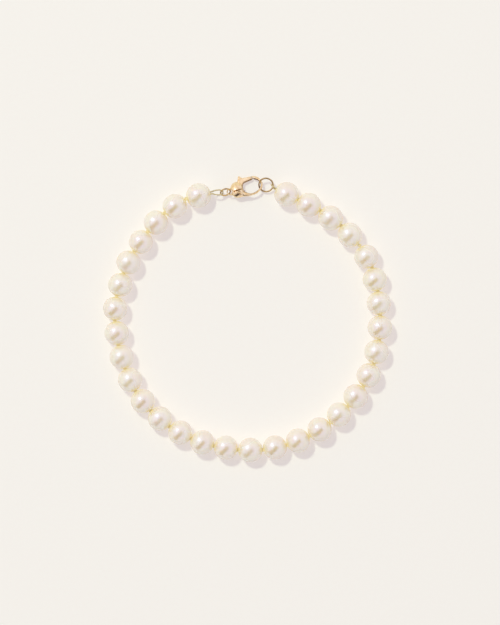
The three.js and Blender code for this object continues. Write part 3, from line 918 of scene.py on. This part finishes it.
def makeCastPiece(name, distance, low, high, body, nodes):
    points, faces = castSurface(distance, low, high, clasp["cell"])
    inside = insideFace(points, distance)
    return makePiece(
        name, points @ claspFrame + claspOrigin, faces, castGold, body, nodes,
        {"insideFace": inside},
    )


half = clasp["thickness"] / 2 + 0.1
castRooms = {
    "castClaspBody": (bodyDistance, (-1.0, -2.1, -half), (7.6, 2.9, half), "bracelet", "clasp_body"),
    "castClaspLever": (leverDistance, (1.0, -1.6, -0.5), (5.6, 3.5, 0.5), "lever", "clasp_lever"),
}
for name, (distance, low, high, body, node) in castRooms.items():
    makeCastPiece(name, distance, low, high, body, [node])


# Rivet: its head's profile is a shallow dish with a rounded edge, turned round the pivot
def rivetSurface():
    radius, half = clasp["rivetDiameter"] / 2, clasp["rivetLength"] / 2
    edge = np.linspace(0, np.pi / 2, 5)
    head = np.concatenate([
        np.stack([np.linspace(0.02, 0.7, 5) * radius, half - 0.1 * (1 - np.linspace(0, 1, 5) ** 2)], -1),
        np.stack([radius * (0.8 + 0.2 * np.sin(edge)), half - 0.05 * (1 - np.cos(edge))], -1),
    ])
    profile = np.concatenate([head, head[::-1] * [1, -1]])[::-1]
    angle = np.linspace(0, 2 * np.pi, 32, endpoint=False)
    circle = np.stack([np.cos(angle), np.sin(angle)], -1)
    rings = np.concatenate([
        profile[:, None, :1] * circle[None] + claspPoint(clasp["pivot"]),
        np.broadcast_to(profile[:, None, 1:], (len(profile), 32, 1)),
    ], -1)
    return closedTube(rings)


points, faces = rivetSurface()
makePiece(
    "dishedRivet", points @ claspFrame + claspOrigin, faces, castGold, "bracelet", ["clasp_rivet"]
)
print("clasp made")


# Table, light, camera

def makeTableTop():
    size = 1.5
    mesh = bpy.data.meshes.new("tableTop")
    corners = [(-size, -size, 0), (size, -size, 0), (size, size, 0), (-size, size, 0)]
    mesh.from_pydata(corners, [], [(0, 1, 2, 3)])
    mesh.materials.append(makeTable())
    table = bpy.data.objects.new("tableTop", mesh)
    bpy.context.scene.collection.objects.link(table)


# A white tent: cream walls, a lilac top, brighter round the shining lamp. A narrow dark gap in
# it runs along a great circle and gives each pearl its tan streak. What the surfaces mirror is
# brighter than what lights them
tent = {
    "walls": "#FBF5E6",
    "top": "#F1E6F7",
    "topFrom": (0.15, 0.6),  # heights, as sines, between which the walls turn into the top
    "spill": "#FDF6FF",
    "gap": "#1C130B",
    "mirrored": 1.03,
    "lighting": 0.42,
    "spillStrength": 0.35,
    "spillFrom": 0.82,  # cosine of the angle from the lamp where the brighter round begins
    "gapSquareTo": (0.712, -0.674, -0.198),
    "gapMiddle": (-0.28, -0.5, 0.82),
    "gapHalfWidth": 0.29,
    "gapLength": 0.5,
}
# A small high lamp casts the shadows, and a larger low one gives the pearls their bright spots
lamps = {
    "shadowLamp": {
        "elevation": 60, "azimuth": 128, "diameter": 0.2, "power": 21, "colour": "#F6FFE4",
        "lights": "visible_diffuse",
    },
    "shineLamp": {
        "elevation": 50, "azimuth": 138, "diameter": 0.5, "power": 4.2, "colour": "#FDFBFF",
        "lights": "visible_glossy",
    },
}
lampDistance = 2.0


def lampWay(lamp):
    elevation, azimuth = math.radians(lamp["elevation"]), math.radians(lamp["azimuth"])
    level = math.cos(elevation)
    return np.array([level * math.cos(azimuth), level * math.sin(azimuth), math.sin(elevation)])


def makeTent():
    world = bpy.data.worlds.new("whiteTent")
    bpy.context.scene.world = world
    world.use_nodes = True
    tree = world.node_tree
    tree.nodes.clear()
    way = addNode(tree, "ShaderNodeTexCoord").outputs["Generated"]

    def alongWay(vector):
        product = addNode(tree, "ShaderNodeVectorMath", {"operation": "DOT_PRODUCT"}, {1: vector}, {0: way})
        return product.outputs["Value"]

    def eased(source, low, high, lowValue=0.0, highValue=1.0):
        return addNode(tree, "ShaderNodeMapRange", {"interpolation_type": "SMOOTHSTEP"}, {
            "From Min": low, "From Max": high, "To Min": lowValue, "To Max": highValue,
        }, {"Value": source}).outputs["Result"]

    height = eased(alongWay((0, 0, 1)), *tent["topFrom"])
    walls = addNode(tree, "ShaderNodeMix", {"data_type": "RGBA"}, links={"Factor": height})
    walls.inputs["A"].default_value = fromHex(tent["walls"])
    walls.inputs["B"].default_value = fromHex(tent["top"])
    square = alongWay(tent["gapSquareTo"])
    off = addNode(tree, "ShaderNodeMath", {"operation": "ABSOLUTE"}, links={0: square})
    across = eased(off.outputs[0], tent["gapHalfWidth"] * 0.6, tent["gapHalfWidth"] * 1.4, 1.0, 0.0)
    within = eased(alongWay(tent["gapMiddle"]), tent["gapLength"], tent["gapLength"] + 0.15)
    amount = addNode(tree, "ShaderNodeMath", {"operation": "MULTIPLY"}, links={0: across, 1: within})
    colour = addNode(tree, "ShaderNodeMix", {"data_type": "RGBA"}, links={
        "Factor": amount.outputs[0], "A": walls.outputs["Result"],
    })
    colour.inputs["B"].default_value = fromHex(tent["gap"])
    ray = addNode(tree, "ShaderNodeLightPath")
    strength = addNode(tree, "ShaderNodeMapRange", inputs={
        "To Min": tent["lighting"], "To Max": tent["mirrored"],
    }, links={"Value": ray.outputs["Is Glossy Ray"]})
    even = addNode(tree, "ShaderNodeBackground", links={
        "Color": colour.outputs["Result"], "Strength": strength.outputs["Result"],
    })
    spillWay = alongWay(lampWay(lamps["shineLamp"]).tolist())
    near = eased(spillWay, tent["spillFrom"], 1.0, 0.0, tent["spillStrength"])
    spill = addNode(tree, "ShaderNodeBackground", inputs={
        "Color": fromHex(tent["spill"]),
    }, links={"Strength": near})
    light = addNode(tree, "ShaderNodeAddShader", links={0: even.outputs[0], 1: spill.outputs[0]})
    addNode(tree, "ShaderNodeOutputWorld", links={"Surface": light.outputs[0]})


def makeLamp(name, lamp):
    data = bpy.data.lights.new(name, "AREA")
    data.shape = "DISK"
    data.size = lamp["diameter"]
    data.energy = lamp["power"]
    data.color = fromHex(lamp["colour"])[:3]
    light = bpy.data.objects.new(name, data)
    light.location = lampWay(lamp) * lampDistance
    light.rotation_euler = (
        math.radians(90 - lamp["elevation"]), 0, math.radians(lamp["azimuth"] + 90)
    )
    light.visible_diffuse = lamp["lights"] == "visible_diffuse"
    light.visible_glossy = lamp["lights"] == "visible_glossy"
    bpy.context.scene.collection.objects.link(light)


# The photograph's frame: its middle on the table, and how much it takes in from top to bottom
view = {"middle": (0.52, 1.42), "height": 135.3, "distance": 750, "sensor": 24}


def makeCamera():
    data = bpy.data.cameras.new("overheadCamera")
    data.sensor_fit = "VERTICAL"
    data.sensor_height = view["sensor"]
    data.lens = view["sensor"] * view["distance"] / view["height"]
    data.clip_start = 0.01
    data.clip_end = 10
    camera = bpy.data.objects.new("overheadCamera", data)
    middleHeight = pearlPlaces[0]["radius"]
    height = view["distance"] + middleHeight
    camera.location = (view["middle"][0] * mm, view["middle"][1] * mm, height * mm)
    bpy.context.scene.collection.objects.link(camera)
    bpy.context.scene.camera = camera


makeTableTop()
makeTent()
for name, lamp in lamps.items():
    makeLamp(name, lamp)
makeCamera()
# A soft, high-key print: no tone curve, and darker tones lifted towards the pale table
viewSettings = bpy.context.scene.view_settings
viewSettings.view_transform = "Standard"
viewSettings.look = "None"
viewSettings.gamma = 1.45
print("table, light and camera set")
